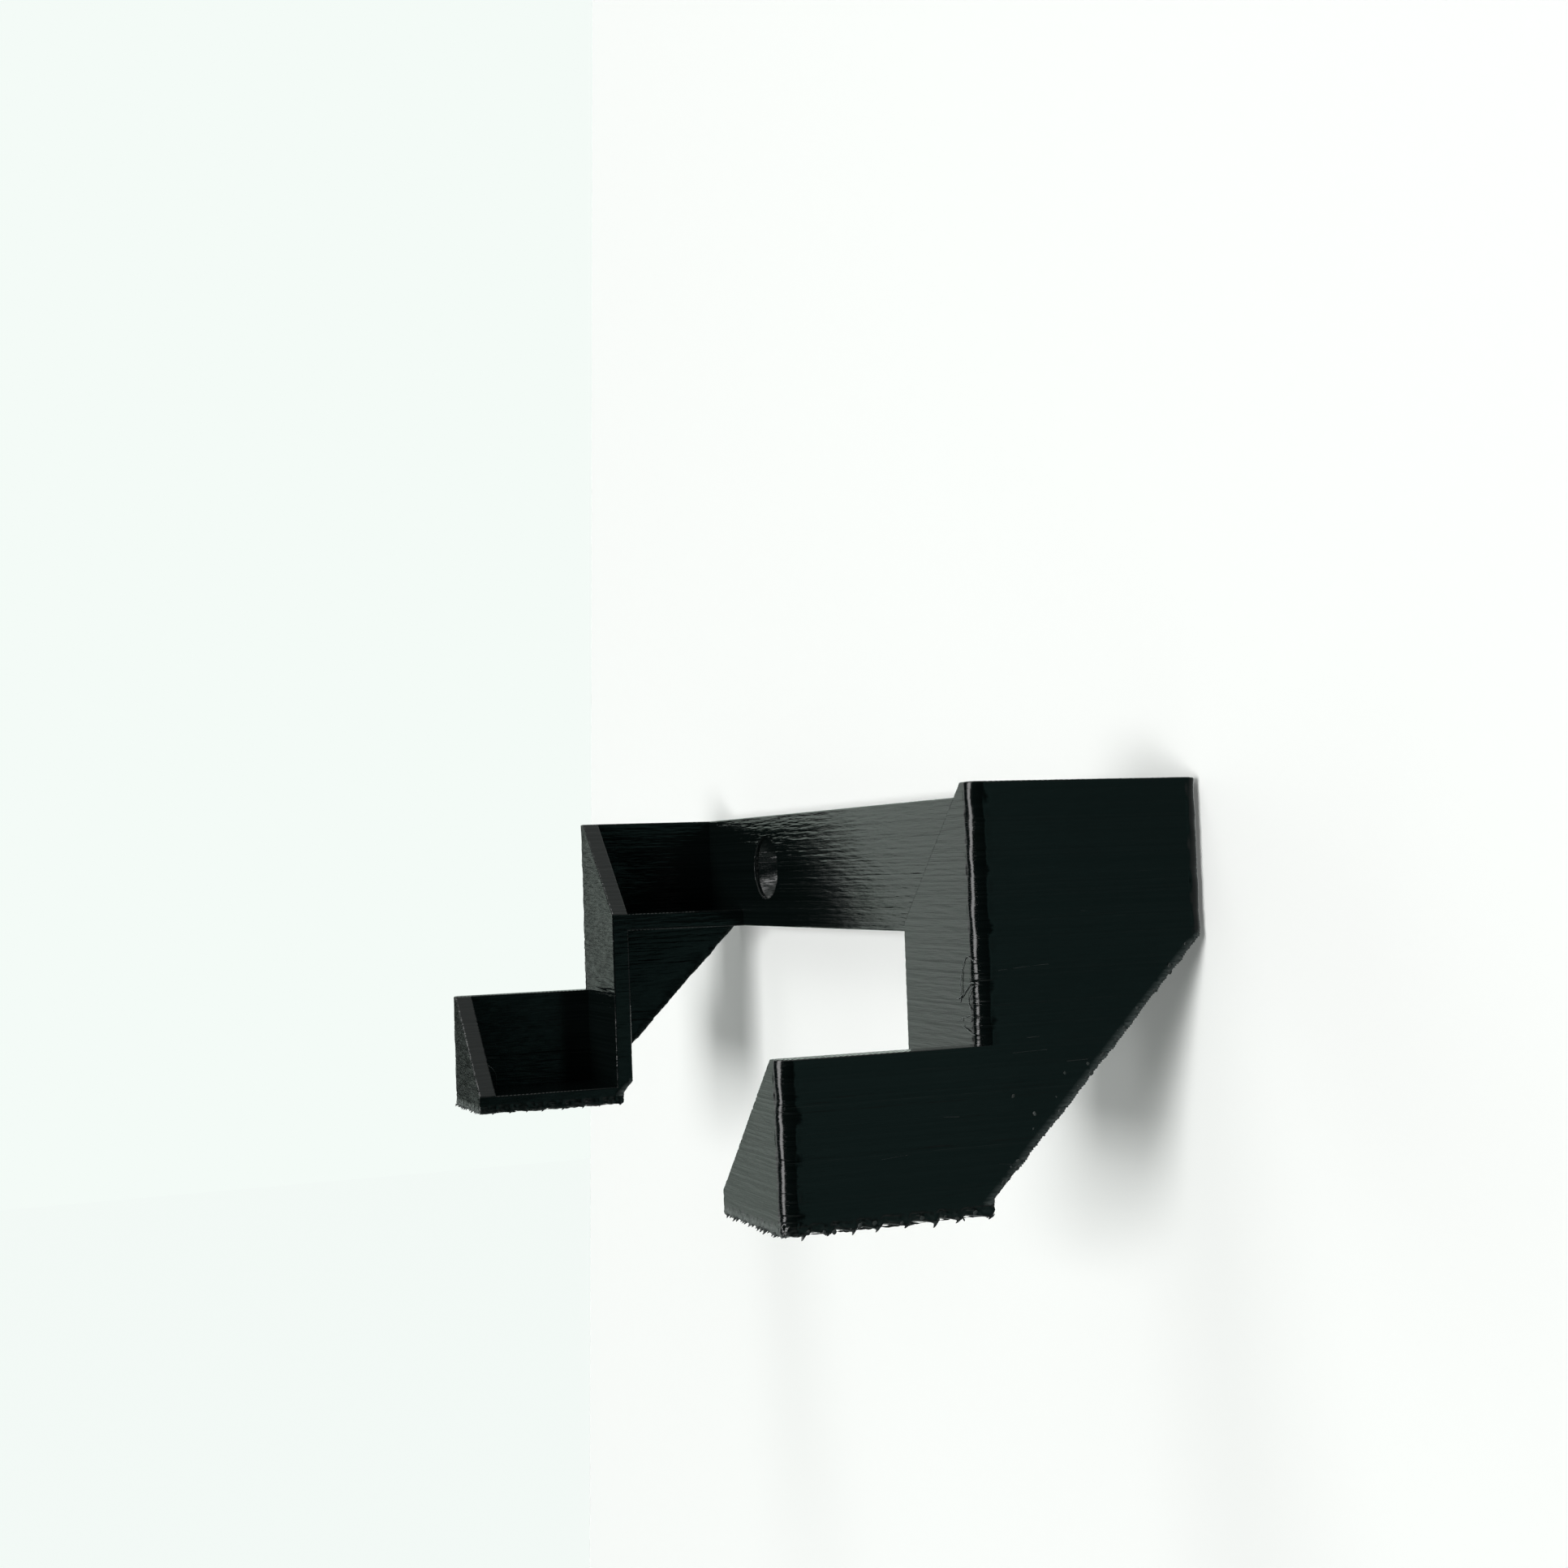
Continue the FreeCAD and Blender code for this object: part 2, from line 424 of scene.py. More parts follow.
torn = shell.verts.layers.float.new("torn")
shell.normal_update()
rest = [(vert, vert.co.copy(), vert.normal.copy()) for vert in shell.verts]
for vert, place, normal in rest:
    row = (place.z - BOTTOM) / HALF_STRAND
    strand = min(strand_count - 1, max(0, int(row / 2 + 1e-3)))
    on_seam = round(row) % 2 == 0
    outward = level_outward(place, normal)
    spot = place / MM
    depth = above_underside(place)
    upright = abs(normal.z) < 0.9
    move = Vector((0, 0, 0))
    rough = 0.0
    # Strands: each bulges a little, lies a little in or out of line, and wanders at the corners.
    if upright:
        lift = -SEAM_DEPTH if on_seam else STRAND_BULGE
        lift += strand_shift[strand]
        lift += 0.02 * MM * noise.noise(spot * 0.13)
        lift += 0.004 * MM * noise.noise(Vector((spot.x * 0.4, spot.y * 0.4, spot.z * 4)))
        if normal.y < -0.9 and place.y < FRONT + WALL and not in_round_corner(place):
            lift += 0.03 * MM * noise.noise(Vector((spot.x * 0.17, strand * 1.7, 4.0)))
        beside = min(abs(place.y - FRONT - beside_corner), abs(place.y - STEP - beside_corner))
        if beside < 0.05 * MM and abs(place.x) > HALF_WIDTH - 0.1 * MM:
            lift += 0.012 * MM * corner_shift[strand]
        if in_round_corner(place):
            lift += corner_roughness(place) * corner_shift[strand]
            lift += 0.08 * MM * noise.noise(Vector((spot.x * 0.7, spot.y * 0.7, spot.z * 0.55)))
        move += lift * outward
    else:
        move.z += 0.012 * MM * noise.noise(spot * 0.5)
    # Slanted edges: the plastic curled outwards beside them and sagged under them.
    if depth < 1.5 * CURL_BAND and place.z > BOTTOM + 1.2 * MM:
        fade = max(0.0, 1 - depth / (1.5 * CURL_BAND))
        chunk = noise.noise(Vector((spot.x * 0.9, spot.y * 1.3, spot.z * 1.3)) + Vector((3, 5, 7)))
        grain = noise.noise(spot * 4.5)
        side_face = abs(normal.x) > 0.3
        if side_face:
            curl = 0.07 + 0.16 * max(0.0, chunk) + 0.10 * grain
            move.x += math.copysign(max(0.0, curl) * MM * fade, normal.x)
            rough = min(1.0, 1.5 * fade) * (0.75 + 0.9 * grain)
        if depth < 0.6 * EDGE_ROUNDING + 0.02 * MM or normal.dot(UNDERSIDE_NORMAL) > 0.5:
            slow = noise.noise(Vector((spot.x * 0.25, spot.y * 0.45, spot.z * 0.45)) + Vector((9, 1, 4)))
            ragged = 0.035 * grain + 0.06 * chunk + 0.16 * slow + rng.gauss(0, 0.01)
            sag = 0.03 if not on_seam else -0.03
            move += UNDERSIDE_NORMAL * (ragged + sag) * MM
            rough = max(rough, 0.7)
    # Torn bottom: arches from support to support, with a hollow above each.
    low = 1 - (place.z - BOTTOM) / SCAR_HEIGHT
    if low > 0:
        wave = support_wave(place)
        grain = noise.noise(spot * 2.6)
        if upright:
            hollow = math.exp(-((place.z - BOTTOM - 0.75 * MM) / (0.3 * MM)) ** 2)
            side_face = abs(normal.x) > 0.3
            deep = 0.26 if side_face else 0.12
            bulge = 0.06 * low * grain - deep * hollow * wave * (0.6 + grain)
            move += outward * bulge * MM
            pale = 0.06 + 0.2 * grain if side_face else 0.5 + 0.6 * grain
            rough = max(rough, min(1.0, low * 1.2) * pale)
        beside_side = 1 - (HALF_WIDTH - abs(place.x)) / (1.4 * MM)
        edge_part = max(0.0, beside_side) if place.y > FRONT + WALL else 0.0
        arch = (0.28 + 0.36 * edge_part) * wave - 0.1 + 0.04 * grain
        move.z += arch * min(1.0, 1.15 * low) * MM
        if normal.z < -0.9:
            move.z -= 0.1 * MM * grain
            rough = 0.9
    vert.co = place + move
    vert[torn] = max(0.0, min(1.0, rough))

HOLE_X = 40 * MM
HOLE_REACH = 5 * MM


def beside_hole(point):
    """True on the two screw holes."""
    return abs(abs(point.x) - HOLE_X) < HOLE_REACH and abs(point.z) < HOLE_REACH and point.y > -6 * MM


# Smooth over bends that the plastic rounds off, sharp where faces meet.
for edge in shell.edges:
    angle = math.degrees(edge.calc_face_angle(0))
    first, last = edge.verts
    level = abs(first.co.z - last.co.z) < 0.3 * HALF_STRAND
    seam_height = (first.co.z - BOTTOM) / STRAND
    on_seam = abs(seam_height - round(seam_height)) < 0.2
    flat_front = any(abs(face.normal.y) > 0.97 for face in edge.link_faces)
    rounded = in_round_corner(first.co) or (beside_hole(first.co) and not flat_front)
    crisp = first[torn] < 0.1 and not rounded
    if level:
        limit = 3 if on_seam else 28
    else:
        limit = 8 if crisp else 24
    edge.smooth = angle < limit
for face in shell.faces:
    face.smooth = True

body_mesh = bpy.data.meshes.new("printed_body")
shell.to_mesh(body_mesh)
shell.free()
printed_body = bpy.data.objects.new("printed_body", body_mesh)
bpy.context.scene.collection.objects.link(printed_body)
even_shine = printed_body.modifiers.new("even_shine", "WEIGHTED_NORMAL")
even_shine.mode = "FACE_AREA"
even_shine.weight = 50
even_shine.keep_sharp = True
bpy.context.view_layer.update()
graph = bpy.context.evaluated_depsgraph_get()
body_mesh = bpy.data.meshes.new_from_object(printed_body.evaluated_get(graph))
body_mesh.name = "printed_body"
printed_body.modifiers.clear()
printed_body.data = body_mesh


def add_node(tree, kind, place=None, **settings):
    """A node with its properties set; plain values given by socket name go through `place`."""
    made = tree.nodes.new(kind)
    for key, value in settings.items():
        setattr(made, key, value)
    for socket, value in (place or {}).items():
        made.inputs[socket].default_value = value
    return made


def calculate(tree, operation, first, second=None, third=None):
    """A Math node fed by sockets or numbers."""
    made = add_node(tree, "ShaderNodeMath", operation=operation)
    for slot_number, source in enumerate((first, second, third)):
        if source is None:
            continue
        if isinstance(source, (int, float)):
            made.inputs[slot_number].default_value = source
        else:
            tree.links.new(source, made.inputs[slot_number])
    return made.outputs[0]


def strand_group():
    """Laid strands: a height for bump, a streak mask and a tone that changes from strand to strand."""
    group = bpy.data.node_groups.new("laid_strands", "ShaderNodeTree")
    face = group.interface
    face.new_socket("Place", in_out="INPUT", socket_type="NodeSocketVector")
    for name, value in (("Strand", STRAND), ("Grain", 1.0)):
        face.new_socket(name, in_out="INPUT", socket_type="NodeSocketFloat").default_value = value
    for name in ("Height", "Streak", "Tone"):
        face.new_socket(name, in_out="OUTPUT", socket_type="NodeSocketFloat")
    start = group.nodes.new("NodeGroupInput")
    end = group.nodes.new("NodeGroupOutput")
    parts = add_node(group, "ShaderNodeSeparateXYZ")
    group.links.new(start.outputs["Place"], parts.inputs[0])
    number = calculate(group, "DIVIDE", parts.outputs["Z"], start.outputs["Strand"])
    whole_number = calculate(group, "FLOOR", number)
    along = calculate(group, "ADD", parts.outputs["X"], parts.outputs["Y"])
    laid = add_node(group, "ShaderNodeCombineXYZ")
    group.links.new(calculate(group, "MULTIPLY", along, 160.0), laid.inputs[0])
    group.links.new(calculate(group, "MULTIPLY", number, 1.7), laid.inputs[1])
    streaks = add_node(group, "ShaderNodeTexNoise", {"Scale": 1.0, "Detail": 4.0, "Roughness": 0.6})
    streaks.noise_dimensions = "2D"
    group.links.new(laid.outputs[0], streaks.inputs["Vector"])
    group_of_strands = add_node(group, "ShaderNodeCombineXYZ")
    group.links.new(calculate(group, "MULTIPLY", along, 210.0), group_of_strands.inputs[0])
    group.links.new(calculate(group, "MULTIPLY", number, 0.42), group_of_strands.inputs[1])
    broad = add_node(group, "ShaderNodeTexNoise", {"Scale": 1.0, "Detail": 2.0, "Roughness": 0.5})
    broad.noise_dimensions = "2D"
    group.links.new(group_of_strands.outputs[0], broad.inputs["Vector"])
    per_strand = add_node(group, "ShaderNodeTexWhiteNoise", noise_dimensions="1D")
    group.links.new(whole_number, per_strand.inputs["W"])
    fine = add_node(group, "ShaderNodeTexNoise", {"Scale": 5200.0, "Detail": 2.0, "Roughness": 0.5})
    group.links.new(start.outputs["Place"], fine.inputs["Vector"])
    grain = calculate(group, "MULTIPLY", fine.outputs["Fac"], start.outputs["Grain"])
    height = streaks.outputs["Fac"]
    for part, share in ((grain, 0.35), (per_strand.outputs["Value"], 0.4), (broad.outputs["Fac"], 8.0)):
        height = calculate(group, "ADD", height, calculate(group, "MULTIPLY", part, share))
    group.links.new(height, end.inputs["Height"])
    group.links.new(streaks.outputs["Fac"], end.inputs["Streak"])
    group.links.new(per_strand.outputs["Value"], end.inputs["Tone"])
    return group


laid_strands = strand_group()


def raster_group():
    """The slanted lines of a filled level face, as a height, and a mask that is 1 on level faces."""
    group = bpy.data.node_groups.new("raster_lines", "ShaderNodeTree")
    face = group.interface
    face.new_socket("Place", in_out="INPUT", socket_type="NodeSocketVector")
    face.new_socket("Normal", in_out="INPUT", socket_type="NodeSocketVector")
    pitch = face.new_socket("Pitch", in_out="INPUT", socket_type="NodeSocketFloat")
    pitch.default_value = LINE_PITCH
    for name in ("Height", "Level"):
        face.new_socket(name, in_out="OUTPUT", socket_type="NodeSocketFloat")
    start = group.nodes.new("NodeGroupInput")
    end = group.nodes.new("NodeGroupOutput")
    place = add_node(group, "ShaderNodeSeparateXYZ")
    group.links.new(start.outputs["Place"], place.inputs[0])
    across = calculate(group, "ADD", place.outputs["X"], place.outputs["Y"])
    across = calculate(group, "MULTIPLY", across, 0.7071)
    number = calculate(group, "DIVIDE", across, start.outputs["Pitch"])
    uneven = add_node(group, "ShaderNodeTexNoise", {"Scale": 700.0, "Detail": 2.0})
    group.links.new(start.outputs["Place"], uneven.inputs["Vector"])
    number = calculate(group, "ADD", number, calculate(group, "MULTIPLY", uneven.outputs["Fac"], 0.35))
    wave = calculate(group, "SINE", calculate(group, "MULTIPLY", number, math.pi))
    group.links.new(calculate(group, "ABSOLUTE", wave), end.inputs["Height"])
    facing = add_node(group, "ShaderNodeSeparateXYZ")
    group.links.new(start.outputs["Normal"], facing.inputs[0])
    steep = calculate(group, "ABSOLUTE", facing.outputs["Z"])
    level = add_node(group, "ShaderNodeMapRange", {"From Min": 0.8, "From Max": 0.96})
    group.links.new(steep, level.inputs["Value"])
    group.links.new(level.outputs["Result"], end.inputs["Level"])
    return group


LINE_PITCH = 0.42 * MM
raster_lines = raster_group()
PLASTIC_DARK, PLASTIC_LIGHT = (0.0017, 0.0033, 0.0031), (0.0044, 0.0068, 0.0065)
TORN_PALE = (0.105, 0.118, 0.115)
LEAST_ROUGH, STREAK_ROUGH, TORN_ROUGH = 0.055, 0.13, 0.25
RELIEF = 0.009 * MM
RASTER_SHARE = 2.6


def black_plastic(name, torn_amount=None):
    """Glossy black filament, paler and duller by the amount torn, or by the body's own torn places."""
    plastic = bpy.data.materials.new(name)
    plastic.use_nodes = True
    tree = plastic.node_tree
    shader = tree.nodes["Principled BSDF"]
    shader.inputs["IOR"].default_value = 1.5
    place = add_node(tree, "ShaderNodeTexCoord")
    strands = add_node(tree, "ShaderNodeGroup", {"Strand": STRAND, "Grain": 1.0}, node_tree=laid_strands)
    tree.links.new(place.outputs["Object"], strands.inputs["Place"])
    blotch = add_node(tree, "ShaderNodeTexNoise", {"Scale": 90.0, "Detail": 3.0})
    tree.links.new(place.outputs["Object"], blotch.inputs["Vector"])

    if torn_amount is not None:
        torn_mask = torn_amount
    else:
        attribute = add_node(tree, "ShaderNodeAttribute", attribute_name="torn")
        torn_mask = attribute.outputs["Fac"]

    tone = add_node(tree, "ShaderNodeMix", data_type="RGBA")
    tone.inputs["A"].default_value = (*PLASTIC_DARK, 1)
    tone.inputs["B"].default_value = (*PLASTIC_LIGHT, 1)
    patchy = calculate(tree, "MULTIPLY", blotch.outputs["Fac"], strands.outputs["Tone"])
    tree.links.new(patchy, tone.inputs["Factor"])
    wear = add_node(tree, "ShaderNodeMix", data_type="RGBA")
    wear.inputs["B"].default_value = (*TORN_PALE, 1)
    tree.links.new(tone.outputs["Result"], wear.inputs["A"])
    if torn_amount is not None:
        wear.inputs["Factor"].default_value = torn_mask
    else:
        tree.links.new(torn_mask, wear.inputs["Factor"])
    tree.links.new(wear.outputs["Result"], shader.inputs["Base Color"])

    roughness = calculate(tree, "MULTIPLY_ADD", strands.outputs["Streak"], STREAK_ROUGH, LEAST_ROUGH)
    roughness = calculate(tree, "MULTIPLY_ADD", torn_mask, TORN_ROUGH, roughness)
    tree.links.new(roughness, shader.inputs["Roughness"])

    raster = add_node(tree, "ShaderNodeGroup", {"Pitch": LINE_PITCH}, node_tree=raster_lines)
    tree.links.new(place.outputs["Object"], raster.inputs["Place"])
    tree.links.new(place.outputs["Normal"], raster.inputs["Normal"])
    level_share = calculate(tree, "MULTIPLY", raster.outputs["Level"], RASTER_SHARE)
    filled = calculate(tree, "MULTIPLY", raster.outputs["Height"], level_share)
    relief = calculate(tree, "ADD", strands.outputs["Height"], filled)
    bump = add_node(tree, "ShaderNodeBump", {"Strength": 1.0, "Distance": RELIEF})
    tree.links.new(relief, bump.inputs["Height"])
    tree.links.new(bump.outputs["Normal"], shader.inputs["Normal"])
    return plastic


black_print = black_plastic("black_print")
body_mesh.materials.append(black_print)

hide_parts("wall_mount")
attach(printed_body, "root")

# The torn supports
# Under the lowest faces thin supports were broken off after printing. What is left are low broken
# ridges both ways across each face and a row of small hooked teeth along its edges.

BOTTOM_INSET = 0.2 * MM
torn_print = black_plastic("torn_print", 0.45)
faint_print = black_plastic("faint_print", 0.2)


def finished(worker, name, tree, settings):
    """Runs a geometry tree on an object and keeps its result as a plain mesh that rides on the mount."""
    modifier = worker.modifiers.new(name, "NODES")
    modifier.node_group = tree
    for socket, value in settings.items():
        modifier[socket.identifier] = value
    bpy.context.view_layer.update()
    graph = bpy.context.evaluated_depsgraph_get()
    made = bpy.data.meshes.new_from_object(worker.evaluated_get(graph))
    worker.modifiers.clear()
    worker.data = made
    made.name = name
    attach(worker, "root")
    return worker


def line_object(name, lines):
    """An object of bare edges, one chain of points per line."""
    points, edges = [], []
    for line in lines:
        first = len(points)
        points += [tuple(p) for p in line]
        edges += [(first + k, first + k + 1) for k in range(len(line) - 1)]
    mesh = bpy.data.meshes.new(name)
    mesh.from_pydata(points, edges, [])
    made = bpy.data.objects.new(name, mesh)
    bpy.context.scene.collection.objects.link(made)
    return made


def new_tree(name, wanted):
    """A geometry tree with its named inputs; returns the tree, its ends and its input sockets."""
    tree = bpy.data.node_groups.new(name, "GeometryNodeTree")
    tree.interface.new_socket("Geometry", in_out="INPUT", socket_type="NodeSocketGeometry")
    tree.interface.new_socket("Geometry", in_out="OUTPUT", socket_type="NodeSocketGeometry")
    sockets = {
        label: tree.interface.new_socket(label, in_out="INPUT", socket_type=kind)
        for label, kind in wanted
    }
    return tree, tree.nodes.new("NodeGroupInput"), tree.nodes.new("NodeGroupOutput"), sockets


def wandering_noise(tree, scale, seed, size):
    """A noise vector about zero, of a given size, that changes with place and seed."""
    where = tree.nodes.new("GeometryNodeInputPosition")
    shift = tree.nodes.new("ShaderNodeCombineXYZ")
    tree.links.new(seed, shift.inputs[2])
    moved = add_node(tree, "ShaderNodeVectorMath", operation="ADD")
    tree.links.new(where.outputs[0], moved.inputs[0])
    tree.links.new(shift.outputs[0], moved.inputs[1])
    grain = add_node(tree, "ShaderNodeTexNoise", {"Scale": scale, "Detail": 2.0})
    tree.links.new(moved.outputs[0], grain.inputs["Vector"])
    centred = add_node(tree, "ShaderNodeVectorMath", {1: (0.5, 0.5, 0.5)}, operation="SUBTRACT")
    tree.links.new(grain.outputs["Color"], centred.inputs[0])
    sized = add_node(tree, "ShaderNodeVectorMath", operation="SCALE")
    tree.links.new(centred.outputs[0], sized.inputs[0])
    tree.links.new(size, sized.inputs["Scale"])
    return sized.outputs[0], grain.outputs["Fac"]


def thread_tree():
    """Draws each chain of edges as a thread whose thickness and path both wander."""
    tree, start, end, sockets = new_tree("plastic_thread", (
        ("Radius", "NodeSocketFloat"),
        ("Wander", "NodeSocketFloat"),
        ("Thin", "NodeSocketFloat"),
        ("Step", "NodeSocketFloat"),
        ("Seed", "NodeSocketFloat"),
        ("Material", "NodeSocketMaterial"),
    ))
    links = tree.links
    curve = tree.nodes.new("GeometryNodeMeshToCurve")
    links.new(start.outputs["Geometry"], curve.inputs["Mesh"])
    smooth = add_node(tree, "GeometryNodeCurveSplineType", spline_type="NURBS")
    links.new(curve.outputs[0], smooth.inputs["Curve"])
    even = add_node(tree, "GeometryNodeResampleCurve", mode="LENGTH")
    links.new(smooth.outputs[0], even.inputs["Curve"])
    links.new(start.outputs["Step"], even.inputs["Length"])
    offset, amount = wandering_noise(tree, 900.0, start.outputs["Seed"], start.outputs["Wander"])
    moved = tree.nodes.new("GeometryNodeSetPosition")
    links.new(even.outputs[0], moved.inputs["Geometry"])
    links.new(offset, moved.inputs["Offset"])
    span = add_node(tree, "ShaderNodeMapRange", {"From Min": 0.38, "From Max": 0.62, "To Max": 1.0})
    links.new(amount, span.inputs["Value"])
    links.new(start.outputs["Thin"], span.inputs["To Min"])
    ring = add_node(tree, "GeometryNodeCurvePrimitiveCircle", {"Resolution": 6})
    links.new(start.outputs["Radius"], ring.inputs["Radius"])
    skin = add_node(tree, "GeometryNodeCurveToMesh", {"Fill Caps": True})
    links.new(moved.outputs[0], skin.inputs["Curve"])
    links.new(ring.outputs["Curve"], skin.inputs["Profile Curve"])
    links.new(span.outputs["Result"], skin.inputs["Scale"])
    shade = tree.nodes.new("GeometryNodeSetShadeSmooth")
    links.new(skin.outputs[0], shade.inputs["Geometry"])
    paint = tree.nodes.new("GeometryNodeSetMaterial")
    links.new(shade.outputs[0], paint.inputs["Geometry"])
    links.new(start.outputs["Material"], paint.inputs["Material"])
    links.new(paint.outputs[0], end.inputs["Geometry"])
    return tree, sockets


plastic_thread, thread_sockets = thread_tree()


def threads(name, lines, radius, wander, thin, step, seed, material):
    """Threads of plastic along the given lines."""
    return finished(line_object(name, lines), name, plastic_thread, {
        thread_sockets["Radius"]: radius,
        thread_sockets["Wander"]: wander,
        thread_sockets["Thin"]: thin,
        thread_sockets["Step"]: step,
        thread_sockets["Seed"]: seed,
        thread_sockets["Material"]: material,
    })


RIDGE_PARTS = (0, 0.25, 0.5, 0.75, 1)
scar_y = [y * MM for y in TEETH_Y]
scar_x = [x * MM for x in TEETH_X]
scar_rng = random.Random(5)
ridge_lines = []
for side in (-1, 1):
    inner, outer = side * (FLOOR_END + 2 * BOTTOM_INSET), side * (HALF_WIDTH - 2 * BOTTOM_INSET)
    for y in scar_y:
        drift = scar_rng.uniform(-0.3, 0.3) * MM
        ridge_lines.append([
            (inner + (outer - inner) * t, y + drift * t, BOTTOM - 0.02 * MM) for t in RIDGE_PARTS
        ])
    for x in scar_x:
        drift = scar_rng.uniform(-0.3, 0.3) * MM
        start, back = FRONT + 2 * BOTTOM_INSET, HEEL - 2 * BOTTOM_INSET
        ridge_lines.append([
            (side * x + drift * t, start + (back - start) * t, BOTTOM - 0.01 * MM) for t in RIDGE_PARTS
        ])
threads("support_ridges", ridge_lines, 0.15 * MM, 0.3 * MM, 0.12, 0.25 * MM, 0.3, torn_print)


def tooth_tree():
    """Hangs a hooked tooth at each point, no two alike."""
    tree, start, end, sockets = new_tree("torn_teeth", (
        ("Length", "NodeSocketFloat"),
        ("Width", "NodeSocketFloat"),
        ("Spread", "NodeSocketFloat"),
        ("Roughness", "NodeSocketFloat"),
        ("Seed", "NodeSocketFloat"),
        ("Material", "NodeSocketMaterial"),
    ))
    links = tree.links
    apart = add_node(tree, "FunctionNodeRandomValue", data_type="FLOAT_VECTOR")
    apart.inputs["Min"].default_value = (-1, -1, -0.3)
    apart.inputs["Max"].default_value = (1, 1, 0.3)
    wide = add_node(tree, "ShaderNodeVectorMath", operation="SCALE")
    links.new(apart.outputs["Value"], wide.inputs[0])
    links.new(start.outputs["Spread"], wide.inputs["Scale"])
    placed = tree.nodes.new("GeometryNodeSetPosition")
    links.new(start.outputs["Geometry"], placed.inputs["Geometry"])
    links.new(wide.outputs[0], placed.inputs["Offset"])
    cone = add_node(tree, "GeometryNodeMeshCone", {
        "Vertices": 10, "Side Segments": 6, "Radius Top": 0.2, "Radius Bottom": 1.0, "Depth": 1.0,
    })
    hook = tree.nodes.new("GeometryNodeSetPosition")
    where = tree.nodes.new("GeometryNodeInputPosition")
    parts = tree.nodes.new("ShaderNodeSeparateXYZ")
    bend = tree.nodes.new("ShaderNodeCombineXYZ")
    links.new(where.outputs[0], parts.inputs[0])
    links.new(calculate(tree, "POWER", parts.outputs["Z"], 2.0), bend.inputs[1])
    links.new(cone.outputs["Mesh"], hook.inputs["Geometry"])
    links.new(bend.outputs[0], hook.inputs["Offset"])
    turn = add_node(tree, "FunctionNodeRandomValue", data_type="FLOAT_VECTOR")
    turn.inputs["Min"].default_value = (math.pi - 0.2, -0.2, -0.5)
    turn.inputs["Max"].default_value = (math.pi + 0.2, 0.2, 0.5)
    size = add_node(tree, "FunctionNodeRandomValue", data_type="FLOAT")
    links.new(start.outputs["Seed"], size.inputs["Seed"])
    size.inputs[2].default_value = 0.7
    size.inputs[3].default_value = 1.15
    stretch = tree.nodes.new("ShaderNodeCombineXYZ")
    for axis in (0, 1):
        links.new(start.outputs["Width"], stretch.inputs[axis])
    links.new(start.outputs["Length"], stretch.inputs[2])
    own_size = add_node(tree, "ShaderNodeVectorMath", operation="SCALE")
    links.new(stretch.outputs[0], own_size.inputs[0])
    links.new(size.outputs[1], own_size.inputs["Scale"])
    stand = tree.nodes.new("GeometryNodeInstanceOnPoints")
    links.new(placed.outputs[0], stand.inputs["Points"])
    links.new(hook.outputs[0], stand.inputs["Instance"])
    links.new(turn.outputs["Value"], stand.inputs["Rotation"])
    links.new(own_size.outputs[0], stand.inputs["Scale"])
    real = tree.nodes.new("GeometryNodeRealizeInstances")
    links.new(stand.outputs[0], real.inputs["Geometry"])
    offset, _ = wandering_noise(tree, 2600.0, start.outputs["Seed"], start.outputs["Roughness"])
    ragged = tree.nodes.new("GeometryNodeSetPosition")
    links.new(real.outputs[0], ragged.inputs["Geometry"])
    links.new(offset, ragged.inputs["Offset"])
    paint = tree.nodes.new("GeometryNodeSetMaterial")
    links.new(ragged.outputs[0], paint.inputs["Geometry"])
    links.new(start.outputs["Material"], paint.inputs["Material"])
    links.new(paint.outputs[0], end.inputs["Geometry"])
    return tree, sockets


torn_teeth, tooth_sockets = tooth_tree()
tooth_points = []
lip_points = []
tooth_z = BOTTOM + 0.24 * MM
lip_z = BOTTOM + 0.2 * MM
for side in (-1, 1):
    for y in scar_y:
        for x in (HALF_WIDTH - BOTTOM_INSET, FLOOR_END + BOTTOM_INSET):
            tooth_points.append((side * x, y, tooth_z))
    for x in scar_x:
        lip_points.append((side * x, HEEL - BOTTOM_INSET, lip_z))
        for back in (0, 0.85 * MM, 1.5 * MM):
            if x - back > FLOOR_END + 2 * BOTTOM_INSET:
                lip_points.append((side * (x - back), FRONT + BOTTOM_INSET, lip_z))
    tooth_points.append((side * (HALF_WIDTH - 0.3 * MM), HEEL - 0.3 * MM, tooth_z))
lip_spots = line_object("lip_nubs", [[point] for point in lip_points])
finished(lip_spots, "lip_nubs", torn_teeth, {
    tooth_sockets["Length"]: 0.4 * MM,
    tooth_sockets["Width"]: 0.28 * MM,
    tooth_sockets["Spread"]: 0.14 * MM,
    tooth_sockets["Roughness"]: 0.12 * MM,
    tooth_sockets["Seed"]: 9.0,
    tooth_sockets["Material"]: torn_print,
})
tooth_spots = line_object("support_teeth", [[point] for point in tooth_points])
finished(tooth_spots, "support_teeth", torn_teeth, {
    tooth_sockets["Length"]: 0.55 * MM,
    tooth_sockets["Width"]: 0.32 * MM,
    tooth_sockets["Spread"]: 0.1 * MM,
    tooth_sockets["Roughness"]: 0.09 * MM,
    tooth_sockets["Seed"]: 4.0,
    tooth_sockets["Material"]: faint_print,
})

# The flakes along the overhang
# The slanted underside was laid over air, so its edges curled and broke into small flat flakes.
# They stick to both faces of each end wall, thickest near the lower end.


